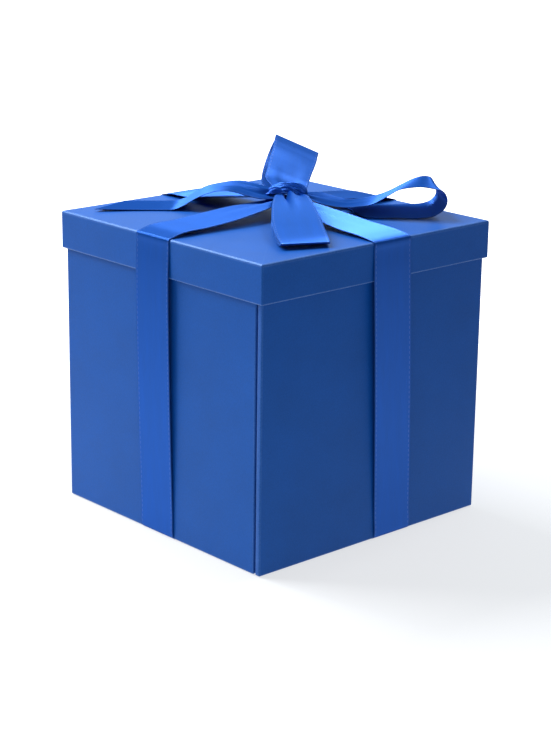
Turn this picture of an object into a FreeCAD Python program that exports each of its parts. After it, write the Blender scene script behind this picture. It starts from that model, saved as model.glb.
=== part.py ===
"""Lift-off lid gift box, tied both ways round with a satin ribbon and a two-loop bow.

Frame: origin at the middle of the footprint on the surface the box stands on, +Z up, +X to the
right-hand face, -Y to the front face. All sizes are in millimetres.
"""
import FreeCAD, Part
import math
import os

from FreeCAD import Vector

# ---- box body: four wrapped walls round a wrapped base panel ----
BOX_WIDTH = 150.0  # outside, along X
BOX_DEPTH = 150.0  # outside, along Y
BOX_HEIGHT = 151.2  # wall height
WALL_BOARD = 2.5  # grey board in the walls
BASE_BOARD = 2.5  # grey board in the base
BOX_PAPER = 0.2  # covering paper outside, and lining paper inside
TURN_IN = 15.0  # how far the covering paper is turned in behind an edge
CORNER_SLIT = 1.2  # gap where the two ends of the wall strip meet
EDGE_ROUND = 0.5  # softened edges of the wrapped board
BASE_RISE = 0.6  # base panel sits this far above the feet of the walls
BASE_CLEARANCE = 0.2  # base panel to the walls
TAPE = 0.2  # thickness of the inside joining tapes
TAPE_LEG = 12.0  # width of each leg of those tapes

# ---- lid ----
LID_HEIGHT = 19.0  # outside, top face to the bottom of the skirt
LID_BOARD = 1.0
LID_PAPER = 0.2
LID_LINING = 0.15
LID_TURN_IN = 12.0
LID_CLEARANCE = 0.3  # skirt to the walls
LID_SEAT = 0.3  # lining to the top of the walls
STAY = 0.1  # gummed corner paper between board and covering paper
STAY_LEG = 10.0

# ---- ribbon ----
RIBBON_WIDTH = 25.0
RIBBON = 0.4  # thickness
RIBBON_GAP = 0.3  # ribbon to the lid, and hanging ribbon to the ribbon under the box
FOLD_GAP = 0.05  # ribbon over the lid to the hanging ribbon, where the two meet at the lid's edge
SWELL = 0.6  # how much further out the hanging ribbon stands just below the skirt
FRONT_AT = -2.0  # middle of the front ribbon along X, at the lid
FRONT_FOOT = -1.5  # and at the foot
BACK_AT = -1.5
BACK_FOOT = -1.5
RIGHT_AT = 7.0  # middle of the right ribbon along Y, at the lid
RIGHT_FOOT = 14.0
LEFT_AT = 1.0
LEFT_FOOT = 4.0
FOOT_MARGIN = 0.5  # how far the ribbon under the box runs past the hanging ribbon
STEP_MARGIN = 2.0  # flat of the upper crossing beyond the ribbon under it
STEP_RUN = 4.0  # length of each of its slopes

# ---- knot and bow ----
BOW_SIZE = RIBBON_WIDTH / 25  # a wider ribbon ties a larger bow: all of it is drawn for 25 mm
KNOT_X = 0.0
KNOT_Y = 9.5
KNOT_UP = 10.4 * BOW_SIZE  # middle of the knot above the lid
KNOT_LENGTH = 22.0 * BOW_SIZE
KNOT_THICKNESS = 11.0 * BOW_SIZE
BOW_TURN = 47.8  # the line of the two tails, turned from +X

# ---- what follows from them ----
FOOT_Z = RIBBON
WALL = WALL_BOARD + 2 * BOX_PAPER
WALL_TOP = FOOT_Z + BOX_HEIGHT
LID_CEILING = WALL_TOP + LID_SEAT
LID_TOP = LID_CEILING + LID_LINING + LID_BOARD + LID_PAPER
SKIRT_BOTTOM = LID_TOP - LID_HEIGHT
SKIRT = LID_LINING + LID_BOARD + LID_PAPER
LID_OVERHANG = LID_CLEARANCE + SKIRT
BASE_BOTTOM = FOOT_Z + BASE_RISE
BASE = BASE_BOARD + 2 * BOX_PAPER
BASE_TOP = BASE_BOTTOM + BASE
HALF_X = BOX_WIDTH / 2
HALF_Y = BOX_DEPTH / 2
INNER_X = HALF_X - WALL
INNER_Y = HALF_Y - WALL
BAND_Z = LID_TOP + RIBBON_GAP + RIBBON / 2
HALF_RIBBON = RIBBON_WIDTH / 2
HALF_DRAWN = HALF_RIBBON / BOW_SIZE


def block(low, high):
    """Box between two opposite corners."""
    size = [high[i] - low[i] for i in range(3)]
    return Part.makeBox(*size, Vector(*low))


def centred_block(half_x, half_y, low_z, high_z):
    """Box centred on the Z axis."""
    return block((-half_x, -half_y, low_z), (half_x, half_y, high_z))


def prism(plan, low_z, high_z):
    """Upright prism on a plan outline."""
    points = [Vector(x, y, low_z) for x, y in plan]
    wire = Part.makePolygon(points + [points[0]])
    return Part.Face(wire).extrude(Vector(0, 0, high_z - low_z))


def round_edges(shape, radius, wanted):
    """Fillets the straight edges whose middle point passes the test."""
    edges = [e for e in shape.Edges if wanted(e.CenterOfMass)]
    return shape.makeFillet(radius, edges)


def strip(sections, thickness=RIBBON):
    """Thin closed solid along a run of cross lines: each section is the two edge points of the ribbon."""
    first = [Vector(*a) for a, b in sections]
    second = [Vector(*b) for a, b in sections]
    last = len(sections) - 1
    tops = []
    bottoms = []
    for i in range(last + 1):
        before = max(i - 1, 0)
        after = min(i + 1, last)
        middle_run = (first[after] + second[after]) - (first[before] + second[before])
        normal = middle_run.cross(second[i] - first[i])
        offset = normal.normalize() * (thickness / 2)
        tops.append((first[i] + offset, second[i] + offset))
        bottoms.append((first[i] - offset, second[i] - offset))
    faces = []

    def quad(p, q, r, s):
        for corners in ((p, q, r), (p, r, s)):
            faces.append(Part.Face(Part.makePolygon([*corners, corners[0]])))

    for i in range(last):
        quad(tops[i][0], tops[i][1], tops[i + 1][1], tops[i + 1][0])
        quad(bottoms[i][0], bottoms[i + 1][0], bottoms[i + 1][1], bottoms[i][1])
        for side in (0, 1):
            quad(tops[i][side], tops[i + 1][side], bottoms[i + 1][side], bottoms[i][side])
    for i in (0, last):
        quad(tops[i][0], bottoms[i][0], bottoms[i][1], tops[i][1])
    solid = Part.Solid(Part.Shell(faces))
    return solid if solid.Volume > 0 else solid.reversed()


# ---- the box body ----
def wall_plan(inset, thickness):
    """Plans of the four wall layers, mitred at three corners and square at the slit."""
    out_x = HALF_X - inset
    out_y = HALF_Y - inset
    in_x = out_x - thickness
    in_y = out_y - thickness
    slit_x = HALF_X - WALL - CORNER_SLIT - inset
    return {
        "front": [(-out_x, -out_y), (slit_x, -out_y), (slit_x, -in_y), (-in_x, -in_y)],
        "left": [(-out_x, -out_y), (-in_x, -in_y), (-in_x, in_y), (-out_x, out_y)],
        "back": [(-out_x, out_y), (-in_x, in_y), (in_x, in_y), (out_x, out_y)],
        "right": [(out_x, -out_y), (out_x, out_y), (in_x, in_y), (in_x, -out_y)],
    }


def wall_boards():
    plans = wall_plan(BOX_PAPER, WALL_BOARD)
    low = FOOT_Z + BOX_PAPER
    return {side: prism(plan, low, WALL_TOP - BOX_PAPER) for side, plan in plans.items()}


def wall_liners():
    """Lining paper in the windows that the turned-in covering paper leaves."""
    back_x = INNER_X + BOX_PAPER
    back_y = INNER_Y + BOX_PAPER
    low = FOOT_Z + TURN_IN
    high = WALL_TOP - TURN_IN
    front_end = INNER_X - CORNER_SLIT - TURN_IN
    right_end = -HALF_Y + TURN_IN
    return {
        "front": block((-back_x, -back_y, low), (front_end, -INNER_Y, high)),
        "back": block((-back_x, INNER_Y, low), (back_x, back_y, high)),
        "left": block((-back_x, -INNER_Y, low), (-INNER_X, INNER_Y, high)),
        "right": block((INNER_X, right_end, low), (back_x, INNER_Y, high)),
    }


def wall_wrap(boards, liners):
    """Covering paper in one piece, round three corners and turned in at the top, foot and both ends."""
    ring = centred_block(HALF_X, HALF_Y, FOOT_Z, WALL_TOP)
    ring = round_edges(ring, EDGE_ROUND, lambda p: p.z > FOOT_Z + EDGE_ROUND)
    ring = ring.cut(centred_block(INNER_X, INNER_Y, FOOT_Z - 1, WALL_TOP + 1))
    slit_low = (INNER_X - CORNER_SLIT, -HALF_Y - 1, FOOT_Z - 1)
    slit_high = (INNER_X, -INNER_Y, WALL_TOP + 1)
    ring = ring.cut(block(slit_low, slit_high))
    for layer in [*boards.values(), *liners.values()]:
        ring = ring.cut(layer)
    return ring


def base_parts():
    """Base board, its covering paper with a turned-in border, and the lining in the window."""
    out_x = INNER_X - BASE_CLEARANCE
    out_y = INNER_Y - BASE_CLEARANCE
    whole = centred_block(out_x, out_y, BASE_BOTTOM, BASE_TOP)
    board = centred_block(
        out_x - BOX_PAPER, out_y - BOX_PAPER, BASE_BOTTOM + BOX_PAPER, BASE_TOP - BOX_PAPER
    )
    liner = centred_block(out_x - TURN_IN, out_y - TURN_IN, BASE_TOP - BOX_PAPER, BASE_TOP)
    return {"base_board": board, "base_liner": liner, "base_wrap": whole.cut(board).cut(liner)}


def foot_tapes():
    """Angle tapes in the inside corners between the base and each wall."""
    tapes = {}
    low = BASE_TOP
    for side, sign in (("front", -1), ("back", 1)):
        upright = block((-INNER_X, -TAPE / 2, low), (INNER_X, TAPE / 2, low + TAPE_LEG))
        upright.translate(Vector(0, sign * (INNER_Y - TAPE / 2), 0))
        length = INNER_X - TAPE
        flat = block((-length, -TAPE_LEG / 2, low), (length, TAPE_LEG / 2, low + TAPE))
        flat.translate(Vector(0, sign * (INNER_Y - TAPE_LEG / 2), 0))
        tapes[side] = upright.fuse(flat).removeSplitter()
    for side, sign in (("left", -1), ("right", 1)):
        length = INNER_Y - TAPE
        upright = block((-TAPE / 2, -length, low), (TAPE / 2, length, low + TAPE_LEG))
        upright.translate(Vector(sign * (INNER_X - TAPE / 2), 0, 0))
        length = INNER_Y - TAPE_LEG
        flat = block((-TAPE_LEG / 2, -length, low), (TAPE_LEG / 2, length, low + TAPE))
        flat.translate(Vector(sign * (INNER_X - TAPE_LEG / 2), 0, 0))
        tapes[side] = upright.fuse(flat).removeSplitter()
    return tapes


def corner_tape():
    """Angle tape up the inside of the corner where the ends of the wall strip meet."""
    low = BASE_TOP + TAPE_LEG
    high = WALL_TOP - TURN_IN
    across = CORNER_SLIT + TAPE_LEG
    front_leg = block((INNER_X - across, -INNER_Y, low), (INNER_X, -INNER_Y + TAPE, high))
    right_leg = block((INNER_X - TAPE, -INNER_Y, low), (INNER_X, -INNER_Y + TAPE_LEG, high))
    return front_leg.fuse(right_leg).removeSplitter()


# ---- the lid ----
def lid_parts():
    in_x = HALF_X + LID_CLEARANCE
    in_y = HALF_Y + LID_CLEARANCE
    board_x = in_x + LID_LINING
    board_y = in_y + LID_LINING
    edge_x = board_x + LID_BOARD
    edge_y = board_y + LID_BOARD
    out_x = edge_x + LID_PAPER
    out_y = edge_y + LID_PAPER
    board_low = LID_CEILING + LID_LINING
    board_high = board_low + LID_BOARD
    skirt_low = SKIRT_BOTTOM + LID_PAPER

    parts = {"lid_top_board": centred_block(edge_x, edge_y, board_low, board_high)}
    for side, sign in (("front", -1), ("back", 1)):
        board = block((-edge_x, -LID_BOARD / 2, skirt_low), (edge_x, LID_BOARD / 2, board_low))
        board.translate(Vector(0, sign * (board_y + LID_BOARD / 2), 0))
        parts[f"lid_{side}_board"] = board
    for side, sign in (("left", -1), ("right", 1)):
        board = block((-LID_BOARD / 2, -board_y, skirt_low), (LID_BOARD / 2, board_y, board_low))
        board.translate(Vector(sign * (board_x + LID_BOARD / 2), 0, 0))
        parts[f"lid_{side}_board"] = board

    stays = []
    outer = centred_block(edge_x + STAY, edge_y + STAY, skirt_low, board_high)
    outer = outer.cut(centred_block(edge_x, edge_y, skirt_low - 1, board_high + 1))
    for sign_x in (-1, 1):
        for sign_y in (-1, 1):
            reach = STAY_LEG / 2 + STAY
            cube = centred_block(reach, reach, skirt_low - 1, board_high + 1)
            cube.translate(Vector(sign_x * (edge_x - STAY_LEG / 2 + STAY), 0, 0))
            cube.translate(Vector(0, sign_y * (edge_y - STAY_LEG / 2 + STAY), 0))
            stays.append(outer.common(cube))
    parts["lid_corner_stays"] = Part.makeCompound([s for shape in stays for s in shape.Solids])

    lining = centred_block(board_x, board_y, SKIRT_BOTTOM + LID_TURN_IN, board_low)
    cavity = centred_block(in_x, in_y, SKIRT_BOTTOM - 1, LID_CEILING)
    parts["lid_liner"] = lining.cut(cavity)

    wrap = centred_block(out_x, out_y, SKIRT_BOTTOM, LID_TOP)
    wrap = round_edges(wrap, LID_PAPER, lambda p: p.z > SKIRT_BOTTOM + STAY)
    wrap = wrap.cut(cavity)
    for layer in list(parts.values()):
        wrap = wrap.cut(layer)
    parts["lid_wrap"] = wrap
    return parts


# ---- the ribbon round the box ----
def ribbon_line(across, middle, out, up, side, share=1.0):
    """Cross line of a ribbon on one side of the box: out is measured from the middle of the box."""
    half = HALF_RIBBON * share * across
    low = middle - half
    high = middle + half
    if side == "front":
        return (low, -out, up), (high, -out, up)
    if side == "back":
        return (high, out, up), (low, out, up)
    if side == "right":
        return (out, low, up), (out, high, up)
    return (-out, high, up), (-out, low, up)


def hanging_ribbon(side, at, foot):
    """Ribbon down one side, from the edge of the lid to the ribbon under the box."""
    half_box = HALF_Y if side in ("front", "back") else HALF_X
    at_lid = half_box + LID_OVERHANG + RIBBON_GAP + RIBBON / 2
    stations = [
        (LID_TOP + RIBBON_GAP - FOLD_GAP, at_lid, 0.0),
        (SKIRT_BOTTOM, at_lid + SWELL, 0.1),
        (SKIRT_BOTTOM * 0.6, at_lid + SWELL * 0.6, 0.45),
        (RIBBON + RIBBON_GAP, at_lid, 1.0),
    ]
    return strip(
        [ribbon_line(1.0, at + (foot - at) * down, out, up, side) for up, out, down in stations]
    )


def top_band(side, at, gathers):
    """Ribbon over one side of the lid, from its edge up to the knot, drawn together towards the knot."""
    half_box = HALF_Y if side in ("front", "back") else HALF_X
    edge = half_box + LID_OVERHANG + RIBBON_GAP + RIBBON
    lines = [ribbon_line(1.0, at, edge, BAND_Z, side)]
    for out, up, middle, share in gathers:
        height = LID_TOP + up * BOW_SIZE
        lines.append(ribbon_line(share, middle, out * BOW_SIZE, height, side))
    return strip(lines)


# out from the middle of the box, height above the lid, middle of the ribbon, share of its width
BAND_GATHERS = {
    "front": [(50, 2.2, -2, 1.0), (25, 4.0, -1.5, 0.92), (8, 5.6, -1, 0.64), (-5, 7.2, 0, 0.36)],
    "right": [(50, 2.4, 8, 1.0), (25, 4.8, 9, 0.8), (10, 6.8, 9.5, 0.44), (3, 7.8, 9.5, 0.28)],
    "back": [(58, 3.2, -1.5, 1.0), (40, 5.0, -1, 0.8), (22, 6.8, 0, 0.48), (13, 7.8, 0, 0.32)],
    "left": [(52, 2.8, 1.5, 1.0), (25, 5.8, 5, 0.8), (10, 7.2, 9.5, 0.44), (3, 7.8, 9.5, 0.28)],
}


def under_strip(side, at_high, at_low, steps_over=None):
    """Ribbon across the underside. One that steps over the other is lifted by its thickness there."""
    half_box = HALF_X if side == "right" else HALF_Y
    end = half_box + LID_OVERHANG + RIBBON_GAP + RIBBON + FOOT_MARGIN
    flat = RIBBON / 2
    stations = [(end, flat), (-end, flat)]
    if steps_over is not None:
        near = HALF_RIBBON + STEP_MARGIN
        far = near + STEP_RUN
        raised = flat + RIBBON
        stations[1:1] = [
            (steps_over + far, flat),
            (steps_over + near, raised),
            (steps_over - near, raised),
            (steps_over - far, flat),
        ]
    lines = []
    for out, up in stations:
        middle = at_low + (at_high - at_low) * (out + end) / (2 * end)
        lines.append(ribbon_line(1.0, middle, out, up, side))
    return strip(lines)


# ---- the knot and the bow ----
def bow_point(across, back, up):
    """A place round the knot: across to the right tail, back to the rear corner, up from the lid."""
    turn = math.radians(BOW_TURN)
    x = KNOT_X + (across * math.cos(turn) - back * math.sin(turn)) * BOW_SIZE
    y = KNOT_Y + (across * math.sin(turn) + back * math.cos(turn)) * BOW_SIZE
    return x, y, LID_TOP + up * BOW_SIZE


def bow_strip(sections):
    """Ribbon of the bow: each section is its middle and its half-width direction, as a share."""
    lines = []
    for middle, half in sections:
        near = [m - HALF_DRAWN * h for m, h in zip(middle, half)]
        far = [m + HALF_DRAWN * h for m, h in zip(middle, half)]
        lines.append((bow_point(*near), bow_point(*far)))
    return strip(lines)


def knot():
    """Round-ended roll lying across the bow."""
    radius = KNOT_THICKNESS / 2
    reach = KNOT_LENGTH / 2 - radius
    roll = Part.makeCylinder(radius, 2 * reach, Vector(-reach, 0, 0), Vector(1, 0, 0))
    for end in (-reach, reach):
        roll = roll.fuse(Part.makeSphere(radius, Vector(end, 0, 0)))
    roll = roll.removeSplitter()
    roll.rotate(Vector(0, 0, 0), Vector(0, 0, 1), BOW_TURN)
    roll.translate(Vector(KNOT_X, KNOT_Y, LID_TOP + KNOT_UP))
    return roll


BOW = {
    # leans back and up from the knot, turns over at its end and comes back underneath
    "bow_back_loop": [
        ((-1, 2, 12.5), (0.5, 0, -0.07)),
        ((-1.3, 12, 13.8), (0.85, 0, -0.24)),
        ((1.3, 27, 19.5), (0.9, 0, -0.35)),
        ((3.5, 38, 24.8), (0.92, 0, -0.38)),
        ((4.6, 47.5, 27.3), (0.92, 0, -0.38)),
        ((4.2, 49.5, 25.5), (0.92, 0, -0.38)),
        ((2.5, 47, 22), (0.92, 0, -0.38)),
        ((-1, 38, 14.5), (0.92, 0, -0.36)),
        ((-2.5, 22, 9.8), (0.86, 0, -0.18)),
        ((-1, 8, 9), (0.5, 0, -0.07)),
        ((0, 3, 9), (0.3, 0, 0)),
    ],
    # reaches forward and down over the lid, folds under and comes back to the knot
    "bow_front_loop": [
        ((0, -2, 12), (0.5, 0, 0)),
        ((1, -12, 13.4), (0.7, 0.15, 0)),
        ((1.4, -28, 11.4), (0.85, 0.25, 0)),
        ((3.2, -48, 8), (0.95, 0.19, 0)),
        ((5.2, -67, 4.6), (0.98, 0.12, -0.02)),
        ((7.5, -79.4, 2.6), (0.93, 0.3, -0.02)),
        ((7.3, -78.6, 1.2), (0.93, 0.3, -0.02)),
        ((5, -62, 1.2), (0.96, 0.14, 0)),
        ((3.2, -45, 2), (0.95, 0.19, 0)),
        ((2.2, -35, 5.8), (0.9, 0.2, 0)),
        ((1.4, -27, 7.8), (0.85, 0.2, 0)),
        ((1, -14, 9.4), (0.7, 0.1, 0)),
        ((0, -3, 9.4), (0.4, 0, 0)),
    ],
    # arches away from the knot and drops to lie along the lid, cut at a slant
    "bow_left_tail": [
        ((-9, 0, 9.8), (0, 0.36, 0.12)),
        ((-14, 0, 10.7), (0.02, 0.5, 0.18)),
        ((-20.5, 2, 12), (0.1, 0.74, 0.14)),
        ((-28, 6, 12.6), (0.1, 0.98, 0.04)),
        ((-36, 10, 11.1), (0.04, 0.98, 0)),
        ((-43.5, 12, 8.6), (0.02, 0.98, 0)),
        ((-49.5, 13, 5.1), (0, 0.98, -0.03)),
        ((-57, 12.8, 0.8), (0.02, 0.98, 0)),
        ((-69, 12, 0.6), (-0.06, 0.96, 0)),
        ((-80, 11, 0.6), (0.2, 0.98, 0)),
        ((-89.9, 9, 0.6), (0.71, 1.12, 0)),
    ],
    # rises in a standing curl, turns over and comes back along the lid
    "bow_right_tail": [
        ((9, -0.5, 9.4), (0, 0.3, 0.06)),
        ((16.8, -0.5, 8.4), (0.07, 0.52, 0.06)),
        ((29, -1, 5.8), (0.14, 0.74, 0.01)),
        ((35.4, 0, 5.9), (0.12, 0.88, 0)),
        ((44.7, 0, 8), (0.14, 0.96, 0)),
        ((50.6, 0, 10.9), (0.1, 0.96, -0.06)),
        ((56.7, 0, 14.2), (0.12, 0.96, -0.05)),
        ((62.4, 0, 16.4), (0.14, 0.96, 0.01)),
        ((68.7, 0, 17.4), (0.1, 0.96, 0.05)),
        ((74, 0, 16.5), (0, 0.98, 0.04)),
        ((77.4, 0, 12.8), (-0.1, 0.97, -0.1)),
        ((78, 0, 9.3), (-0.16, 0.97, -0.07)),
        ((76.1, 0, 5.8), (-0.2, 0.97, 0)),
        ((72.2, 0, 3.3), (-0.17, 0.97, 0.06)),
        ((64, -0.5, 2.2), (-0.1, 0.96, 0.1)),
        ((54, -0.5, 2), (-0.03, 0.97, 0.09)),
        ((44, -0.5, 1.9), (-0.04, 0.97, 0.08)),
        ((34, 2.5, 1.9), (-0.06, 0.95, 0.07)),
    ],
}


def main():
    nodes = {}
    boards = wall_boards()
    liners = wall_liners()
    nodes["wall_wrap"] = wall_wrap(boards, liners)
    for side, board in boards.items():
        nodes[f"{side}_wall_board"] = board
    for side, liner in liners.items():
        nodes[f"{side}_wall_liner"] = liner
    nodes.update(base_parts())
    for side, tape in foot_tapes().items():
        nodes[f"{side}_foot_tape"] = tape
    nodes["corner_joint_tape"] = corner_tape()
    nodes.update(lid_parts())

    lengthwise_x = (FRONT_FOOT + BACK_FOOT) / 2
    nodes["ribbon_under_lengthwise"] = under_strip("back", BACK_FOOT, FRONT_FOOT)
    nodes["ribbon_under_crosswise"] = under_strip("right", RIGHT_FOOT, LEFT_FOOT, lengthwise_x)
    places = {
        "front": (FRONT_AT, FRONT_FOOT),
        "right": (RIGHT_AT, RIGHT_FOOT),
        "back": (BACK_AT, BACK_FOOT),
        "left": (LEFT_AT, LEFT_FOOT),
    }
    roll = knot()
    bands = {side: top_band(side, at, BAND_GATHERS[side]) for side, (at, foot) in places.items()}
    bands["left"] = bands["left"].cut(bands["back"])
    for side, (at, foot) in places.items():
        nodes[f"ribbon_{side}_arm"] = hanging_ribbon(side, at, foot)
        nodes[f"ribbon_{side}_band"] = bands[side].cut(roll)
    nodes["bow_knot"] = roll
    for name, sections in BOW.items():
        nodes[name] = bow_strip(sections).cut(roll)

    os.makedirs("parts", exist_ok=True)
    for name, shape in nodes.items():
        shape.exportStep(f"parts/{name}.step")
        print(name, "solids", len(shape.Solids), "valid", shape.isValid(), "mm3", round(shape.Volume, 1))


main()
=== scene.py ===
"""Gift box with a lift-off lid, a satin ribbon tied both ways round it, and a bow."""

import math

import bmesh
import bpy
import numpy as np
from bpy.props import FloatProperty, FloatVectorProperty, PointerProperty
from bpy.types import Operator, Panel, PropertyGroup
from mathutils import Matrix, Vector


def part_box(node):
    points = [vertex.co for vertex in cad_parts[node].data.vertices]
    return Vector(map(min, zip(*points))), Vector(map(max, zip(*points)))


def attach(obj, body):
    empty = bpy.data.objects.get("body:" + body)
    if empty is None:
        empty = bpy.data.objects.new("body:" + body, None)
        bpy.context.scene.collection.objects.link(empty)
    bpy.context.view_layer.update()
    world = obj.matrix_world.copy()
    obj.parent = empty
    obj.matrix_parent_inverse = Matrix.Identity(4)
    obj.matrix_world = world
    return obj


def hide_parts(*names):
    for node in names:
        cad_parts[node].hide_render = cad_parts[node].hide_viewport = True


bl_info = {
    "name": "Gift box",
    "version": (1, 0, 0),
    "blender": (4, 5, 0),
    "location": "View3D > Sidebar > Gift box",
    "description": "Papers, ribbon and bow of a lift-off lid gift box, on its packed frame",
    "category": "Object",
}

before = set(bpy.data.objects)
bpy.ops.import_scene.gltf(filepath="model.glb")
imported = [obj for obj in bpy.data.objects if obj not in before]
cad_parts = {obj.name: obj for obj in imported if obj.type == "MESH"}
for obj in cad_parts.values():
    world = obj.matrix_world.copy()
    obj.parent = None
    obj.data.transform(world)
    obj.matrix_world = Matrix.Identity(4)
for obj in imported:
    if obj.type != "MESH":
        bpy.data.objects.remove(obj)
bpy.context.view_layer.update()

MM = 0.001


def corners(node):
    """Low and high corner of a CAD node's box, in metres."""
    return [np.array(corner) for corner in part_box(node)]


WALLS_LOW, WALLS_HIGH = corners("wall_wrap")
LID_LOW, LID_HIGH = corners("lid_wrap")
KNOT_LOW, KNOT_HIGH = corners("bow_knot")
LINER_LOW, LINER_HIGH = corners("front_wall_liner")
LID_LINER_LOW, LID_LINER_HIGH = corners("lid_liner")
RIGHT_BOARD_LOW, RIGHT_BOARD_HIGH = corners("right_wall_board")
FRONT_BOARD_HIGH = corners("front_wall_board")[1]
LID_TOP = float(LID_HIGH[2])
FOOT = float(WALLS_LOW[2])
PAPER = float(WALLS_HIGH[0] - RIGHT_BOARD_HIGH[0])
WALL = float(RIGHT_BOARD_HIGH[0] - RIGHT_BOARD_LOW[0]) + 2 * PAPER
LID_WALL = 1.35 * MM  # the lid's side with its papers, from outside to inside
EDGE_FACE = 0.4 * MM  # narrow face beside a rounded edge, which keeps the flat beside it flat
TINY = 0.02 * MM  # spacing of the two points of a sharp step


# ---------------------------------------------------------------- sizes and colours
class BoxPaperSettings(PropertyGroup):
    """Covering paper of the walls and the lid"""

    corner: FloatProperty(name="Folded corners", description="Rounding of the upright corners",
                          default=1.0 * MM, min=0.2 * MM, unit="LENGTH")
    swell: FloatProperty(name="Swell", description="How far the glued paper stands off the board",
                         default=0.15 * MM, min=0.0, unit="LENGTH")
    rim: FloatProperty(name="Wall rims", description="Rounding of the top, foot and end edges of the walls",
                       default=0.65 * MM, min=0.2 * MM, unit="LENGTH")
    lid_edge: FloatProperty(name="Lid edge", description="Rounding round the top of the lid",
                            default=1.15 * MM, min=0.2 * MM, unit="LENGTH")
    lid_swell: FloatProperty(name="Lid swell", description="The same for the paper of the lid",
                             default=0.25 * MM, min=0.0, unit="LENGTH")
    lid_corner: FloatProperty(name="Lid corners", description="Rounding of the upright corners of the lid",
                              default=0.8 * MM, min=0.2 * MM, unit="LENGTH")
    lid_foot: FloatProperty(name="Lid foot", description="Rounding of the lower edge of the lid's skirt",
                            default=0.4 * MM, min=0.1 * MM, unit="LENGTH")
    blue: FloatVectorProperty(name="Paper", description="Colour of the covering paper",
                              subtype="COLOR", size=3, default=(0.002, 0.072, 0.36))
    # Paler paper along the edges: partly rubbed paper, partly a painted highlight where the rounded edges
    # catch the lamps and the floor
    worn_and_edge_highlight: FloatVectorProperty(name="Rubbed paper", description="Colour where the paper is rubbed along edges",
                              subtype="COLOR", size=3, default=(0.16, 0.28, 0.58))


class RibbonSettings(PropertyGroup):
    """The satin ribbon"""

    width: FloatProperty(name="Width", description="Width of the ribbon", default=25 * MM,
                         min=5 * MM, unit="LENGTH")
    thickness: FloatProperty(name="Thickness", description="Thickness of the cloth",
                             default=0.28 * MM, min=0.05 * MM, unit="LENGTH")
    step: FloatProperty(name="Mesh step", description="Length of one mesh face along the ribbon",
                        default=0.6 * MM, min=0.2 * MM, unit="LENGTH")
    stand_off: FloatProperty(name="Stand-off", description="Bulge of the hanging ribbon below the lid",
                             default=0.7 * MM, min=0.0, unit="LENGTH")
    satin: FloatVectorProperty(name="Satin", description="Colour of the satin face",
                               subtype="COLOR", size=3, default=(0.0005, 0.095, 0.53))
    thread: FloatVectorProperty(name="Selvedge thread", description="Colour of the stitches along the edges",
                                subtype="COLOR", size=3, default=(0.16, 0.24, 0.6))


class StudioSettings(PropertyGroup):
    """Floor, lamps and camera"""

    floor: FloatVectorProperty(name="Floor", description="Colour of the floor",
                               subtype="COLOR", size=3, default=(0.26, 0.27, 0.28))
    floor_glow: FloatProperty(name="Floor glow", description="Light that the frosted light table gives off",
                              default=0.66, min=0.0)
    sky: FloatVectorProperty(name="Backdrop", description="Colour of the backdrop",
                             subtype="COLOR", size=3, default=(0.68, 0.84, 1.0))
    sky_power: FloatProperty(name="Backdrop light", description="Brightness of the backdrop",
                             default=0.27, min=0.0)
    glow_power: FloatProperty(name="Backdrop glow", description="Brightness of the backdrop behind the box",
                              default=0.95, min=0.0)
    key_power: FloatProperty(name="Key lamp", description="Power of the large lamp at the front left",
                             default=18.0, min=0.0, unit="POWER")
    side_power: FloatProperty(name="Side lamp", description="Power of the smaller lamp high on the left",
                              default=17.0, min=0.0, unit="POWER")
    top_power: FloatProperty(name="Top lamp", description="Power of the small lamp above and behind",
                             default=7.0, min=0.0, unit="POWER")
    key_size: FloatProperty(name="Key size", description="Side of the large lamp", default=0.6,
                            min=0.05, unit="LENGTH")
    small_size: FloatProperty(name="Small size", description="Side of the two smaller lamps", default=0.4,
                              min=0.05, unit="LENGTH")


SETTINGS = (
    ("gift_paper", BoxPaperSettings),
    ("gift_ribbon", RibbonSettings),
    ("gift_studio", StudioSettings),
)


# ---------------------------------------------------------------- meshes
def mesh_piece(name, points, faces, body, uv=None, marks=None):
    """Object at the origin from points (n, 3) and quads (m, 4), with a UV pair and values per point."""
    old = bpy.data.objects.get(name)
    if old:
        bpy.data.objects.remove(old)
    mesh = bpy.data.meshes.new(name)
    mesh.from_pydata(points.tolist(), [], faces.tolist())
    if uv is not None:
        layer = mesh.uv_layers.new(name="cloth")
        corner = np.empty(len(mesh.loops), dtype=np.int32)
        mesh.loops.foreach_get("vertex_index", corner)
        layer.data.foreach_set("uv", uv[corner].astype(np.float32).ravel())
    for key, values in (marks or {}).items():
        layer = mesh.attributes.new(key, "FLOAT", "POINT")
        layer.data.foreach_set("value", values.astype(np.float32).ravel())
    mesh.shade_smooth()
    piece = bpy.data.objects.new(name, mesh)
    bpy.context.scene.collection.objects.link(piece)
    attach(piece, body)
    return piece


def grid_faces(rows, columns, loop=False):
    """Quads of a grid of rows by columns; with loop the last column joins the first."""
    wrap = columns if loop else columns - 1
    r, c = np.meshgrid(np.arange(rows - 1), np.arange(wrap), indexing="ij")
    d = (c + 1) % columns
    return np.stack([r * columns + c, r * columns + d, (r + 1) * columns + d, (r + 1) * columns + c],
                    axis=-1).reshape(-1, 4)


def closed_skin(name, grid, body, marks):
    """Closed surface from a grid (rows, ring, 3): its first and last rows are poles or edges."""
    rows, ring = grid.shape[:2]
    piece = mesh_piece(name, grid.reshape(-1, 3), grid_faces(rows, ring, loop=True), body, marks=marks)
    work = bmesh.new()
    work.from_mesh(piece.data)
    bmesh.ops.remove_doubles(work, verts=work.verts, dist=2e-6)
    bmesh.ops.dissolve_degenerate(work, dist=1e-6, edges=work.edges)
    bmesh.ops.recalc_face_normals(work, faces=work.faces)
    work.to_mesh(piece.data)
    work.free()
    return piece


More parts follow.
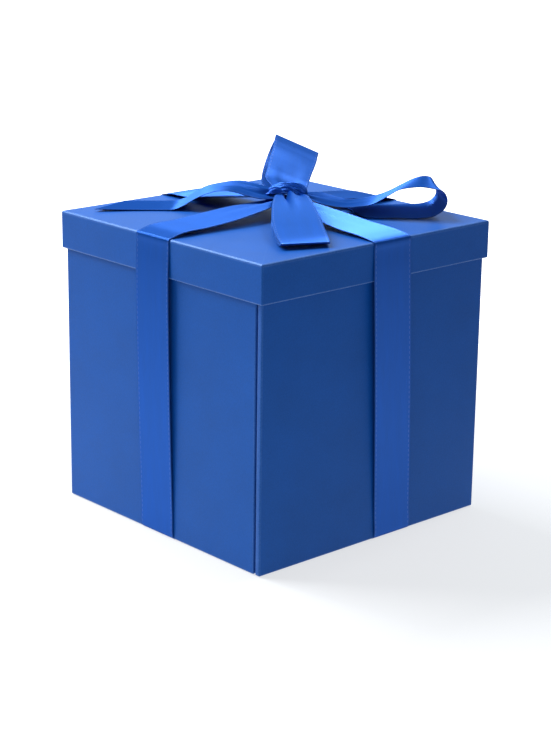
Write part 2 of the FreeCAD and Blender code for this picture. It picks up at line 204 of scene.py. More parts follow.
def smooth_run(stations, at):
    """Cubic through rows of stations at distances along their chords.

    Each row's slope is the mean of the two chords beside it, weighted by the other's length, and
    between two rows the curve is the Hermite cubic with those slopes. at is in metres of chord.
    """
    rows = np.asarray(stations, dtype=float)
    chord = np.linalg.norm(np.diff(rows[:, :3], axis=0), axis=1)
    mark = np.concatenate([[0.0], np.cumsum(chord)])
    pitch = np.diff(rows, axis=0) / chord[:, None]
    slope = np.empty_like(rows)
    slope[0], slope[-1] = pitch[0], pitch[-1]
    before, after = chord[:-1, None], chord[1:, None]
    slope[1:-1] = (pitch[:-1] * after + pitch[1:] * before) / (before + after)
    at = np.clip(np.asarray(at, dtype=float), 0.0, mark[-1])
    k = np.clip(np.searchsorted(mark, at, side="right") - 1, 0, len(chord) - 1)
    h = chord[k][..., None]
    t = ((at - mark[k]) / chord[k])[..., None]
    return ((1 + 2 * t) * (1 - t) ** 2 * rows[k] + t * (1 - t) ** 2 * h * slope[k]
            + t * t * (3 - 2 * t) * rows[k + 1] + t * t * (t - 1) * h * slope[k + 1])


def unit(vectors):
    """Vectors divided by their lengths."""
    return vectors / np.maximum(np.linalg.norm(vectors, axis=-1, keepdims=True), 1e-12)


def ribbon_piece(name, stations, body, across=41, pleats=(0.0, 4, 0.6, 0.0), folds=(), slant=(0.0, 0.0),
                 cup=0.0):
    """Ribbon carried along a path.

    Each station holds the middle of the ribbon and its half-width direction as a share of half the
    width, six numbers. A point of the cloth is middle + v * half + normal * rise, with v from -1 to 1
    across. The rise is the sum of three shapes: a shallow cup, cup * (v squared - 1 / 3); fine pleats,
    a sine across the width, turned by twist radians per millimetre along, whose depth grows as the
    cloth is drawn together; and folds, each a ridge (place at the start, place at its end, depth,
    breadth, reach) that dies out along its reach. A fold of negative reach starts at the far end.
    slant moves the two cut ends along the edges, for a slanting cut.
    """
    cloth = bpy.context.scene.gift_ribbon
    half_width = cloth.width / 2
    rows = np.asarray(stations, dtype=float)
    rows[:, 3:6] *= half_width
    length = np.linalg.norm(np.diff(rows[:, :3], axis=0), axis=1).sum()
    count = max(int(length / cloth.step), 8)
    v = np.linspace(-1.0, 1.0, across)[None, :]
    run = np.linspace(0.0, 1.0, count)[:, None]
    start, end = slant[0] * half_width * v, slant[1] * half_width * v
    trim = [abs(share) * half_width for share in slant]
    low = trim[0] + start
    high = length - trim[1] + end
    at = low + (high - low) * run
    line = smooth_run(rows, at)
    ahead = smooth_run(rows, at + 1e-5)
    behind = smooth_run(rows, at - 1e-5)
    forward = unit(ahead[..., :3] - behind[..., :3])
    half = line[..., 3:6]
    up = unit(np.cross(forward, half))
    share = np.linalg.norm(half, axis=-1) / half_width
    depth, number, open_share, twist = pleats
    drawn = np.clip((open_share + 0.3 - share) / 0.5, 0.0, 1.0)
    rise = cup * MM * (v * v - 1 / 3)
    rise = rise + depth * MM * drawn ** 1.5 * np.sin(
        number * math.pi * v + 0.9 + 1.2 * np.sin(2.3 * v) + twist * at / MM)
    for first, last, tall, breadth, reach in folds:
        from_start = at if reach > 0 else length - at
        gone = np.clip(from_start / (abs(reach) * MM), 0.0, 1.0)
        place = first + (last - first) * gone
        fade = (1 - gone) ** 2 * (1 + 2 * gone)
        rise = rise + tall * MM * fade * np.exp(-(((v - place) / breadth) ** 2))
    points = line[..., :3] + v[..., None] * half + up * rise[..., None]
    uv = np.stack([np.broadcast_to(v * half_width, at.shape), at], axis=-1)
    piece = mesh_piece(name, points.reshape(-1, 3), grid_faces(*at.shape), body, uv=uv.reshape(-1, 2))
    wall = piece.modifiers.new("cloth thickness", "SOLIDIFY")
    wall.thickness = cloth.thickness
    wall.offset = 0.0
    wall.use_even_offset = False
    piece.data.materials.append(satin())
    return piece


# ---------------------------------------------------------------- shader helpers
def add(tree, kind, **values):
    """New node with its own properties set."""
    node = tree.nodes.new(kind)
    for key, value in values.items():
        setattr(node, key, value)
    return node


def setting(node, **values):
    """Sets a node's inputs by name, with underscores for spaces."""
    for key, value in values.items():
        node.inputs[key.replace("_", " ")].default_value = value
    return node


def calc(tree, operation, first, second=None, third=None, clamp=False):
    """Math node; each input is a socket or a number. Gives its output."""
    node = add(tree, "ShaderNodeMath", operation=operation, use_clamp=clamp)
    for socket, value in zip(node.inputs, (first, second, third)):
        if value is None:
            continue
        if isinstance(value, (int, float)):
            socket.default_value = value
        else:
            tree.links.new(value, socket)
    return node.outputs[0]


def blend(tree, factor, first, second):
    """Colour mix; each input is a socket, a colour or a number. Gives its output."""
    node = add(tree, "ShaderNodeMix", data_type="RGBA")
    for socket, value in ((node.inputs[0], factor), (node.inputs[6], first), (node.inputs[7], second)):
        if hasattr(value, "links"):
            tree.links.new(value, socket)
        elif isinstance(value, (int, float)):
            socket.default_value = value
        else:
            socket.default_value = (*value[:3], 1.0)
    return node.outputs[2]


def ramp(tree, value, low, high, first, last):
    """Smooth step of a value from first at low to last at high. Gives its output."""
    node = add(tree, "ShaderNodeMapRange", interpolation_type="SMOOTHSTEP")
    for key, number in (("From Min", low), ("From Max", high), ("To Min", first), ("To Max", last)):
        node.inputs[key].default_value = number
    tree.links.new(value, node.inputs["Value"])
    return node.outputs[0]


def noise(tree, vector, scale, detail=2.0, roughness=0.5):
    """Noise texture on a vector. Gives its value."""
    node = add(tree, "ShaderNodeTexNoise")
    setting(node, Scale=scale, Detail=detail, Roughness=roughness)
    tree.links.new(vector, node.inputs["Vector"])
    return node.outputs["Fac"]


def stretched(tree, vector, scale):
    """A vector multiplied by three scales. Gives the new vector."""
    node = add(tree, "ShaderNodeMapping")
    node.inputs["Scale"].default_value = scale
    tree.links.new(vector, node.inputs["Vector"])
    return node.outputs[0]


def group(name, inputs, outputs):
    """Empty node group with its sockets; gives the tree, its input node and its output node."""
    tree = bpy.data.node_groups.new(name, "ShaderNodeTree")
    kinds = {"vector": "NodeSocketVector", "value": "NodeSocketFloat", "colour": "NodeSocketColor"}
    for key, kind, default in inputs:
        socket = tree.interface.new_socket(key, in_out="INPUT", socket_type=kinds[kind])
        if default is not None:
            socket.default_value = default
    for key, kind in outputs:
        tree.interface.new_socket(key, in_out="OUTPUT", socket_type=kinds[kind])
    return tree, tree.nodes.new("NodeGroupInput"), tree.nodes.new("NodeGroupOutput")


def placed(tree, shared, vector, **values):
    """A node group in a material, fed with a vector and its own values."""
    node = add(tree, "ShaderNodeGroup", node_tree=shared)
    tree.links.new(vector, node.inputs[0])
    return setting(node, **values)


def material(name):
    """New material with nodes; gives it, its tree and its Principled shader."""
    made = bpy.data.materials.new(name)
    made.use_nodes = True
    return made, made.node_tree, made.node_tree.nodes["Principled BSDF"]


def dotted(tree, vector, way):
    """Distance of a vector along a fixed direction. Gives its value."""
    node = add(tree, "ShaderNodeVectorMath", operation="DOT_PRODUCT")
    tree.links.new(vector, node.inputs[0])
    node.inputs[1].default_value = way
    return node.outputs["Value"]


def object_coordinates(tree):
    """The piece's own coordinates in metres."""
    return add(tree, "ShaderNodeTexCoord").outputs["Object"]


def bumped(tree, shader, height, distance, strength=1.0):
    """Feeds a height through a bump into the shader's normal."""
    bump = add(tree, "ShaderNodeBump")
    setting(bump, Strength=strength, Distance=distance)
    tree.links.new(height, bump.inputs["Height"])
    tree.links.new(bump.outputs[0], shader.inputs["Normal"])


# ---------------------------------------------------------------- shared effects
def paper_grain():
    """Fine grain of a printed paper: mottle of its colour and height of its tooth."""
    shared = bpy.data.node_groups.get("paper grain")
    if shared:
        return shared
    tree, given, made = group(
        "paper grain",
        [("Vector", "vector", None), ("Grain", "value", 1400.0), ("Cloud", "value", 60.0)],
        [("Mottle", "value"), ("Tooth", "value")],
    )
    vector = given.outputs["Vector"]
    fine = noise(tree, vector, 1400.0, 3.0, 0.65)
    tree.links.new(given.outputs["Grain"], fine.node.inputs["Scale"])
    cloud = noise(tree, vector, 60.0, 3.0, 0.55)
    tree.links.new(given.outputs["Cloud"], cloud.node.inputs["Scale"])
    mottle = calc(tree, "ADD", calc(tree, "MULTIPLY", fine, 0.65), calc(tree, "MULTIPLY", cloud, 0.35))
    tree.links.new(mottle, made.inputs["Mottle"])
    tree.links.new(fine, made.inputs["Tooth"])
    return tree


def satin_weave():
    """Satin on a ribbon's own UV in metres: long floats, picks across them, selvedge and stitches."""
    shared = bpy.data.node_groups.get("satin weave")
    if shared:
        return shared
    tree, given, made = group(
        "satin weave",
        [("Vector", "vector", None), ("Half width", "value", 0.0125), ("Stitch pitch", "value", 0.0026)],
        [("Streaks", "value"), ("Height", "value"), ("Selvedge", "value"), ("Stitches", "value")],
    )
    vector = given.outputs["Vector"]
    parts = add(tree, "ShaderNodeSeparateXYZ")
    tree.links.new(vector, parts.inputs[0])
    floats = noise(tree, stretched(tree, vector, (5200.0, 120.0, 1.0)), 1.0, 2.0)
    picks = noise(tree, stretched(tree, vector, (900.0, 4200.0, 1.0)), 1.0, 1.0)
    soft = noise(tree, stretched(tree, vector, (260.0, 25.0, 1.0)), 1.0, 2.0)
    streaks = calc(tree, "ADD", calc(tree, "MULTIPLY", floats, 0.6), calc(tree, "MULTIPLY", soft, 0.4))
    tree.links.new(streaks, made.inputs["Streaks"])
    inset = calc(tree, "SUBTRACT", given.outputs["Half width"], calc(tree, "ABSOLUTE", parts.outputs[0]))
    selvedge = calc(tree, "LESS_THAN", inset, 0.00045)
    tree.links.new(selvedge, made.inputs["Selvedge"])
    lane = calc(tree, "COMPARE", inset, 0.00105, 0.0002)
    beat = calc(tree, "FRACT", calc(tree, "DIVIDE", parts.outputs[1], given.outputs["Stitch pitch"]))
    stitches = calc(tree, "MULTIPLY", lane, calc(tree, "LESS_THAN", beat, 0.55))
    tree.links.new(stitches, made.inputs["Stitches"])
    height = calc(tree, "ADD", calc(tree, "MULTIPLY", floats, 0.5), calc(tree, "MULTIPLY", picks, 0.3))
    height = calc(tree, "ADD", height, calc(tree, "MULTIPLY", selvedge, 0.8))
    height = calc(tree, "ADD", height, calc(tree, "MULTIPLY", stitches, 1.2))
    tree.links.new(height, made.inputs["Height"])
    return tree


# ---------------------------------------------------------------- materials
def covering_paper():
    """Blue coated paper with a fine grain, paler along the edges: partly rubbed paper, partly a painted
    highlight.
    """
    found = bpy.data.materials.get("blue covering paper")
    if found:
        return found
    colours = bpy.context.scene.gift_paper
    made, tree, shader = material("blue covering paper")
    grain = placed(tree, paper_grain(), object_coordinates(tree), Grain=1500.0, Cloud=45.0)
    deep = tuple(0.8 * c for c in colours.blue)
    light = tuple(1.2 * c + 0.002 for c in colours.blue)
    contrast = calc(tree, "MULTIPLY_ADD", grain.outputs["Mottle"], 2.0, -0.5, clamp=True)
    colour = blend(tree, contrast, deep, light)
    # paler along the edges by the edge mark: rubbed paper plus a painted highlight on the rounded edges
    edge = add(tree, "ShaderNodeAttribute", attribute_name="edge")
    rub_and_edge_highlight = calc(tree, "MULTIPLY", edge.outputs["Fac"],
               calc(tree, "MULTIPLY_ADD", grain.outputs["Mottle"], 1.6, -0.35, clamp=True))
    tree.links.new(blend(tree, rub_and_edge_highlight, colour, colours.worn_and_edge_highlight), shader.inputs["Base Color"])
    rough = calc(tree, "MULTIPLY_ADD", grain.outputs["Mottle"], 0.16, 0.36)
    rough = calc(tree, "SUBTRACT", rough, calc(tree, "MULTIPLY", edge.outputs["Fac"], 0.08))
    tree.links.new(rough, shader.inputs["Roughness"])
    setting(shader, IOR=1.5, Specular_IOR_Level=0.42, Specular_Tint=(0.22, 0.6, 1.0, 1.0))
    bumped(tree, shader, grain.outputs["Tooth"], 0.00006, 0.8)
    return made


def plain_paper(name, pale, dark, grain_size, roughness):
    """Uncoated paper or board: fibres and cloudiness between two shades."""
    found = bpy.data.materials.get(name)
    if found:
        return found
    made, tree, shader = material(name)
    grain = placed(tree, paper_grain(), object_coordinates(tree), Grain=grain_size, Cloud=90.0)
    contrast = calc(tree, "MULTIPLY_ADD", grain.outputs["Mottle"], 2.4, -0.7, clamp=True)
    tree.links.new(blend(tree, contrast, dark, pale), shader.inputs["Base Color"])
    rough = calc(tree, "MULTIPLY_ADD", grain.outputs["Mottle"], 0.15, roughness)
    tree.links.new(rough, shader.inputs["Roughness"])
    bumped(tree, shader, grain.outputs["Tooth"], 0.00008, 0.6)
    return made


def satin():
    """Blue satin: glossy along the floats, with a raised selvedge and a row of pale stitches."""
    found = bpy.data.materials.get("blue satin")
    if found:
        return found
    cloth = bpy.context.scene.gift_ribbon
    made, tree, shader = material("blue satin")
    uv = add(tree, "ShaderNodeUVMap", uv_map="cloth")
    weave = placed(tree, satin_weave(), uv.outputs[0], Half_width=cloth.width / 2)
    contrast = calc(tree, "MULTIPLY_ADD", weave.outputs["Streaks"], 2.0, -0.5, clamp=True)
    dull, bright, woven = (tuple(share * c for c in cloth.satin) for share in (0.85, 1.15, 0.5))
    colour = blend(tree, contrast, dull, bright)
    colour = blend(tree, calc(tree, "MULTIPLY", weave.outputs["Selvedge"], 0.5), colour, woven)
    colour = blend(tree, calc(tree, "MULTIPLY", weave.outputs["Stitches"], 0.5), colour, cloth.thread)
    tree.links.new(colour, shader.inputs["Base Color"])
    rough = calc(tree, "MULTIPLY_ADD", weave.outputs["Streaks"], 0.10, 0.52)
    rough = calc(tree, "ADD", rough, calc(tree, "MULTIPLY", weave.outputs["Selvedge"], 0.2))
    tree.links.new(rough, shader.inputs["Roughness"])
    tangent = add(tree, "ShaderNodeTangent", direction_type="UV_MAP", uv_map="cloth")
    tree.links.new(tangent.outputs[0], shader.inputs["Tangent"])
    setting(shader, Anisotropic=0.95, Metallic=0.68, IOR=2.0, Specular_IOR_Level=1.0,
            Specular_Tint=(0.5, 0.76, 1.0, 1.0))
    bumped(tree, shader, weave.outputs["Height"], 0.00004, 0.35)
    return made


# ---------------------------------------------------------------- papers of the box and the lid
def quarter(radius, count=7):
    """Insets from two faces along a quarter round: from (0, radius) to (radius, 0)."""
    turn = np.linspace(0.0, math.pi / 2, count)
    return radius * (1 - np.cos(turn)), radius * (1 - np.sin(turn))


def wall_paper_grid(corner, rim, swell):
    """Skin of the folded wall strip.

    A rounded rectangle, thickness by height, is carried along the outer plan line: from the slit at
    the front corner round three corners and back to it. A point is outer + depth * (inner - outer) /
    thickness at its height. Near both ends the section draws in by a quarter round and then closes on
    its middle line. The inner face steps back by one paper thickness where the lining lies.
    """
    right, left = float(WALLS_HIGH[0]) + swell, float(WALLS_LOW[0]) - swell
    back, front = float(WALLS_HIGH[1]) + swell, float(WALLS_LOW[1]) - swell
    wall = WALL + swell
    inner_right, inner_left = right - wall, left + wall
    inner_back, inner_front = back - wall, front + wall
    slit = float(FRONT_BOARD_HIGH[0]) + PAPER
    turn_in = slit - float(LINER_HIGH[0])
    drawn, passed = quarter(rim)
    start_x = slit - passed[::-1]
    outer = [(x, front) for x in start_x] + [(slit - rim - EDGE_FACE, front)]
    outer += [(slit - turn_in + TINY, front), (slit - turn_in - TINY, front)]
    turns = np.linspace(0.0, math.pi / 2, 9)
    centres = [(left + corner, front + corner, -90), (left + corner, back - corner, 180),
               (right - corner, back - corner, 90)]
    marks = [1.0] * len(start_x) + [0.0] * 3
    for x, y, start in centres:
        angle = math.radians(start) - turns
        arc = np.stack([x + corner * np.cos(angle), y + corner * np.sin(angle)], axis=1)
        before, after = angle[0] + math.pi / 2, angle[-1] - math.pi / 2
        into = np.array([math.cos(before), math.sin(before)])
        out = np.array([math.cos(after), math.sin(after)])
        outer += [tuple(arc[0] + into * EDGE_FACE)] + [tuple(p) for p in arc]
        outer += [tuple(arc[-1] + out * EDGE_FACE)]
        marks += [0.0] + [0.5] * len(arc) + [0.0]
    last_y = front + passed
    outer += [(right, front + turn_in + TINY), (right, front + turn_in - TINY)]
    outer += [(right, front + rim + EDGE_FACE)]
    outer += [(right, y) for y in last_y]
    marks += [0.0] * 3 + [1.0] * len(last_y)
    outer = np.array(outer)
    inset = np.zeros(len(outer))
    inset[: len(start_x)] = rim - np.sqrt(np.maximum(rim ** 2 - (rim - (slit - start_x)) ** 2, 0))
    inset[-len(last_y):] = rim - np.sqrt(np.maximum(rim ** 2 - (rim - (last_y - front)) ** 2, 0))
    inner = np.stack([np.clip(outer[:, 0], inner_left, inner_right),
                      np.clip(outer[:, 1], inner_front, inner_back)], axis=1)
    ends = outer[:, 0] > right - TINY
    inner[ends, 1] = np.minimum(outer[ends, 1], inner_back)
    lined = np.ones(len(outer))
    lined[: len(start_x) + 2] = 0.0
    lined[-len(last_y) - 2:] = 0.0

    low, high = FOOT, float(WALLS_HIGH[2])
    edge_in, edge_pass = quarter(rim * 0.8, 6)
    window_low, window_high = float(LINER_LOW[2]), float(LINER_HIGH[2])
    far = edge_pass[0] + EDGE_FACE
    # depth, height, one where the lining lies, how much the edge is paled by rubbing and a painted highlight
    section = [(0.0, low + far, 0, 0), (0.0, high - far, 0, 0)]
    section += [(a, high - b, 0, 0.8) for a, b in zip(edge_in, edge_pass)]
    section += [(wall - a, high - b, 0, 0.8) for a, b in zip(edge_in[::-1], edge_pass[::-1])]
    section += [(wall, high - far, 0, 0), (wall, window_high + TINY, 0, 0)]
    section += [(wall, window_high - TINY, 1, 0), (wall, window_low + TINY, 1, 0)]
    section += [(wall, window_low - TINY, 0, 0), (wall, low + far, 0, 0)]
    section += [(wall - a, low + b, 0, 0.8) for a, b in zip(edge_in, edge_pass)]
    section += [(a, low + b, 0, 0.8) for a, b in zip(edge_in[::-1], edge_pass[::-1])]
    section = np.array(section)

    def ring(k, pinch=False):
        """The section at one point of the plan line; pinched, it closes on its middle line."""
        squeeze = (wall - 2 * inset[k]) / wall
        depth = inset[k] + (section[:, 0] - section[:, 2] * lined[k] * PAPER) * squeeze
        if pinch:
            depth = np.full_like(depth, wall / 2)
        middle = (low + high) / 2
        z = middle + (section[:, 1] - middle) * (high - low - 2 * inset[k]) / (high - low)
        share = (depth / wall)[:, None]
        plan = outer[k] * (1 - share) + inner[k] * share
        return np.concatenate([plan, z[:, None]], axis=1)

    rows = [ring(0, True)] + [ring(k) for k in range(len(outer))] + [ring(len(outer) - 1, True)]
    # edge mark per point: how much the paper is paled by rubbing and a painted highlight
    edges = np.array([1.0] + marks + [1.0])[:, None] * 0.3
    edges = np.maximum(edges, 0.6 * section[None, :, 3])
    return np.array(rows), edges


def lid_paper_grid(edge, corner, foot, swell):
    """Skin of the lid.

    A profile, half size and height, is carried round a rounded square: from the middle of the top, over
    the edge, down the skirt, round its foot and up inside to the middle of the ceiling. In each quarter
    a point is the corner's centre plus radius * (cos, sin).
    """
    half = float(LID_HIGH[0]) + swell
    top, low = LID_TOP + swell, float(LID_LOW[2])
    inner = half - LID_WALL - swell
    lined = float(LID_LINER_HIGH[0])
    liner_low = float(LID_LINER_LOW[2])
    ceiling = float(LID_LINER_HIGH[2])
    edge_drop, edge_in = quarter(edge, 9)
    foot_in, foot_rise = quarter(foot, 6)
    # half size, height, how much the edge is paled by rubbing and a painted highlight
    profile = [(0.0, top, 0), (half * 0.5, top, 0), (half - edge - EDGE_FACE, top, 0)]
    profile += [(half - inset, top - drop, 0.35) for drop, inset in zip(edge_drop, edge_in)]
    profile += [(half, top - edge - EDGE_FACE, 0.0), (half, low + foot + EDGE_FACE, 0.0)]
    profile += [(half - inset, low + rise, 0.9) for inset, rise in zip(foot_in, foot_rise)]
    profile += [(inner + inset, low + rise, 0.9) for inset, rise in zip(foot_in[::-1], foot_rise[::-1])]
    profile += [(inner, low + foot + EDGE_FACE, 0.0), (inner, liner_low - TINY, 0.0)]
    profile += [(lined, liner_low + TINY, 0.0), (lined, ceiling - TINY, 0.0)]
    profile += [(lined - TINY, ceiling, 0.0), (half * 0.5, ceiling, 0), (0.0, ceiling, 0)]
    profile = np.array(profile)
    size = profile[:, 0]
    radius = np.clip(corner - (half - size), 0.12 * MM, None)
    radius = np.minimum(radius, size * 0.5)
    turns = np.linspace(0.0, math.pi / 2, 9)
    plan_x, plan_y, upright = [], [], []
    for quarter_turn in range(4):
        angle = turns + quarter_turn * math.pi / 2
        sign_x = math.copysign(1, math.cos(quarter_turn * math.pi / 2 + math.pi / 4))
        sign_y = math.copysign(1, math.sin(quarter_turn * math.pi / 2 + math.pi / 4))
        centre = (size - radius)[:, None]
        x = sign_x * centre + radius[:, None] * np.cos(angle)
        y = sign_y * centre + radius[:, None] * np.sin(angle)
        ahead = np.minimum(EDGE_FACE, centre * 0.5)
        turn_x, turn_y = math.sin(angle[0]), -math.cos(angle[0])
        x = np.concatenate([x[:, :1] + ahead * turn_x, x, x[:, -1:] - ahead * math.sin(angle[-1])], axis=1)
        y = np.concatenate([y[:, :1] + ahead * turn_y, y, y[:, -1:] + ahead * math.cos(angle[-1])], axis=1)
        plan_x.append(x)
        plan_y.append(y)
        upright += [0.0] + [0.5] * len(turns) + [0.0]
    x, y = np.concatenate(plan_x, axis=1), np.concatenate(plan_y, axis=1)
    z = np.broadcast_to(profile[:, 1][:, None], x.shape)
    # edge mark per point, paled by rubbing and a painted highlight; the upright corners get some too
    near_side = (size > half * 0.9)[:, None]
    edges = np.maximum(profile[:, 2][:, None], 0.3 * np.array(upright)[None, :] * near_side)
    return np.stack([x, y, z], axis=-1), edges


# ---------------------------------------------------------------- the ribbon round the box
# Each side: way out from the middle, way across, the arm's place across at the lid and at the foot, then
# the cloth over the lid in rows of distance out, height over the lid, place across (mm) and share of
# the width.
SIDES = {
    "front": ((0, -1), (1, 0), -2.0, -1.5,
              [(70, 1.9, -2.2, 1.0), (52, 2.7, -2.4, 1.0), (34, 4.0, -2.0, 0.97), (20, 5.4, -1.5, 0.84),
               (8, 6.4, -1.0, 0.62), (0, 7.2, -0.5, 0.45), (-8, 8.2, 0.0, 0.3)]),
    "right": ((1, 0), (0, 1), 7.0, 14.0,
              [(68, 1.6, 7.3, 1.0), (50, 2.4, 8.0, 0.98), (34, 3.8, 8.8, 0.88), (22, 5.2, 9.3, 0.7),
               (12, 6.8, 9.5, 0.48), (3, 8.0, 9.5, 0.3)]),
    "back": ((0, 1), (-1, 0), -1.5, -1.5,
             [(70, 2.0, 1.5, 1.0), (55, 3.8, 1.3, 0.98), (40, 5.2, 1.0, 0.85), (28, 6.4, 0.5, 0.62),
              (18, 7.4, 0.0, 0.42), (11, 8.2, 0.0, 0.3)]),
    "left": ((-1, 0), (0, -1), 1.0, 4.0,
             [(70, 1.6, -1.0, 1.0), (56, 2.2, -1.6, 1.0), (42, 4.0, -3.0, 0.95), (28, 5.6, -5.4, 0.8),
              (14, 7.2, -8.0, 0.55), (3, 8.2, -9.5, 0.3)]),
}


def side_stations(out_way, over_way, at_lid, at_foot, over_lid):
    """Stations of one side: under the foot, up the wall, round the lid's edge and over the lid."""
    cloth = bpy.context.scene.gift_ribbon
    out = np.array([*out_way, 0.0])
    across = np.array([*over_way, 0.0])
    sign = float(across.sum())
    skirt = float(LID_HIGH[0]) + 0.5 * MM
    lid_low = float(LID_LOW[2])
    bulge = cloth.stand_off
    bend = 1.5 * MM
    rows = []

    def place(distance, height, middle, share=1.0):
        """Adds a station at a distance out, a height and a place across."""
        spot = out * distance + across * sign * middle + np.array([0, 0, height])
        rows.append([*spot, *(across * share)])

    foot_bend = 1.3 * MM
    foot_top, overhang = 1.9 * MM, 1.6 * MM
    for turn in np.radians([60, 40, 20, 0]):
        away = skirt - overhang - foot_bend * (1 - math.cos(turn))
        place(away, foot_top - foot_bend * math.sin(turn), at_foot * MM)
    for share in (0.08, 0.2, 0.4, 0.6, 0.8, 0.93):
        height = foot_top + (lid_low - foot_top) * share
        ease = math.sin(share * math.pi / 2)
        away = skirt - overhang + (overhang + bulge) * ease
        place(away, height, (at_foot + (at_lid - at_foot) * share) * MM)
    place(skirt + bulge * 0.7, lid_low + 5 * MM, at_lid * MM)
    place(skirt + 0.1 * MM, LID_TOP - 4.0 * MM, at_lid * MM)
    corner_out, corner_up = skirt - bend + 0.1 * MM, LID_TOP + 0.55 * MM - bend
    for turn in np.radians([0, 22, 45, 68, 86]):
        place(corner_out + bend * math.cos(turn), corner_up + bend * math.sin(turn), at_lid * MM)
    for distance, height, middle, share in over_lid:
        place(distance * MM, LID_TOP + height * MM, middle * sign * MM, share)
    return rows


# ---------------------------------------------------------------- the knot and the bow
BOW_TURN = math.radians(47.8)  # of the bow about the upright line through the knot
# Rows of the middle of the ribbon from the knot (mm, the third over the lid) and of the half-width
# direction as a share of half the width, before the bow is turned.
BOW = {
    "back_loop": [
        (-1.1, 1.5, 11.6, 0.45, 0, -0.05), (-1.2, 6, 12.0, 0.62, 0, -0.12), (-1.3, 12, 12.9, 0.83, 0, -0.24),
        (0, 20, 16.4, 0.86, -0.04, -0.3), (1.3, 27, 19.6, 0.87, -0.08, -0.35),
        (3.5, 37.5, 24.4, 0.90, -0.04, -0.38), (4.3, 44, 27.0, 0.91, -0.04, -0.38),
        (4.7, 47.6, 27.6, 0.91, -0.04, -0.38), (4.6, 49.4, 26.6, 0.91, -0.04, -0.38),
        (4.2, 49.8, 25.0, 0.91, -0.04, -0.38), (2.7, 48, 21.6, 0.92, -0.04, -0.40),
        (-1, 38, 14.1, 0.92, 0, -0.34), (-2.6, 28, 11.0, 0.9, 0, -0.25), (-3.2, 19, 9.9, 0.84, 0, -0.16),
        (-2, 9, 9.4, 0.6, 0, -0.08), (-1, 3, 9.4, 0.4, 0, 0),
    ],
    "front_loop": [
        (0, -1, 10.2, 0.42, 0.02, 0), (0.3, -5, 10.7, 0.54, 0.12, 0), (0.8, -12, 11.6, 0.64, 0.2, 0),
        (1.4, -24, 11.6, 0.76, 0.26, 0), (2.2, -37, 10.4, 0.86, 0.24, 0), (3.2, -50, 8.7, 0.94, 0.2, 0),
        (4.4, -62, 6.8, 0.97, 0.14, -0.01), (6.0, -73, 4.6, 0.98, 0.16, -0.02),
        (7.2, -79.6, 3.3, 0.94, 0.3, -0.02), (7.55, -81.2, 3.0, 0.93, 0.33, -0.02),
        (7.62, -81.55, 2.75, 0.93, 0.33, -0.02), (7.5, -81.3, 2.45, 0.93, 0.33, -0.02),
        (7.4, -80.6, 2.2, 0.93, 0.32, -0.02), (6.6, -75, 1.3, 0.96, 0.24, -0.01),
        (4.4, -57, 1.5, 0.96, 0.16, 0), (3.2, -45, 2.6, 0.94, 0.2, 0), (2.2, -35, 5.2, 0.86, 0.2, 0),
        (1.4, -26, 6.8, 0.7, 0.18, 0), (0.8, -12, 8.0, 0.5, 0.1, 0), (0, -2, 8.6, 0.34, 0.02, 0),
    ],
    "left_tail": [
        (-4.5, 0, 9.4, 0.0, 0.28, 0.1), (-8.5, -0.4, 10.2, 0.0, 0.34, 0.16),
        (-13.2, -0.4, 10.8, 0.02, 0.46, 0.19), (-20.2, 2, 12, 0.11, 0.72, 0.14),
        (-27.6, 6, 12.6, 0.1, 0.96, 0.04), (-35.9, 10, 11.2, 0.04, 0.96, -0.01),
        (-43.6, 12, 8.6, 0.01, 0.97, -0.01), (-49.5, 13, 5.1, -0.01, 0.97, -0.04),
        (-53.5, 13, 2.6, 0.02, 0.98, -0.02), (-58, 12.6, 1.05, 0.04, 0.99, 0),
        (-63, 12.3, 0.75, 0.0, 0.97, 0), (-70, 12.0, 0.7, -0.06, 0.95, 0), (-80, 11.1, 0.8, -0.1, 0.95, 0),
        (-90, 9.6, 1.1, -0.12, 0.94, 0), (-100, 8.2, 1.6, -0.12, 0.94, 0),
    ],
    "right_tail": [
        (4.5, -0.3, 10.2, 0.0, 0.28, 0.06), (10.4, -0.5, 9.4, -0.04, 0.36, 0.09),
        (16.8, -0.5, 8.2, 0.05, 0.52, 0.13), (23, -0.8, 6.8, 0.1, 0.62, 0.08),
        (28.9, -1, 5.8, 0.14, 0.74, 0.02), (35.4, 0, 6.0, 0.12, 0.88, 0), (44.7, 0, 8, 0.14, 0.96, 0),
        (50.6, 0, 10.9, 0.1, 0.96, -0.06), (56.7, 0, 14.3, 0.12, 0.96, -0.06),
        (62.4, 0, 16.4, 0.14, 0.96, 0.01), (68.7, 0, 17.3, 0.1, 0.96, 0.05), (73.6, 0, 16.2, 0, 0.97, 0.04),
        (76.9, 0, 13, -0.09, 0.97, -0.1), (77.8, 0, 9.3, -0.16, 0.97, -0.07),
        (76.1, 0, 5.8, -0.2, 0.97, -0.01), (72, 0, 3.2, -0.17, 0.97, 0.06),
        (64.1, -0.5, 2.1, -0.11, 0.95, 0.1), (53.8, -0.5, 1.9, -0.03, 0.95, 0.08),
        (44.2, -0.5, 1.7, -0.04, 0.95, 0.08), (34, 2, 1.8, -0.06, 0.95, 0.07),
        (26, 5, 1.8, -0.08, 0.95, 0.05),
    ],
}


def bow_stations(rows):
    """Rows measured from the knot, turned with the bow and put on the lid, in metres."""
    rows = np.array(rows, dtype=float)
    cos, sin = math.cos(BOW_TURN), math.sin(BOW_TURN)
    turn = np.array([[cos, -sin, 0], [sin, cos, 0], [0, 0, 1]])
    middle = (KNOT_LOW + KNOT_HIGH) / 2
    places = rows[:, :3] @ turn.T * MM + np.array([middle[0], middle[1], LID_TOP])
    return np.concatenate([places, rows[:, 3:] @ turn.T], axis=1)


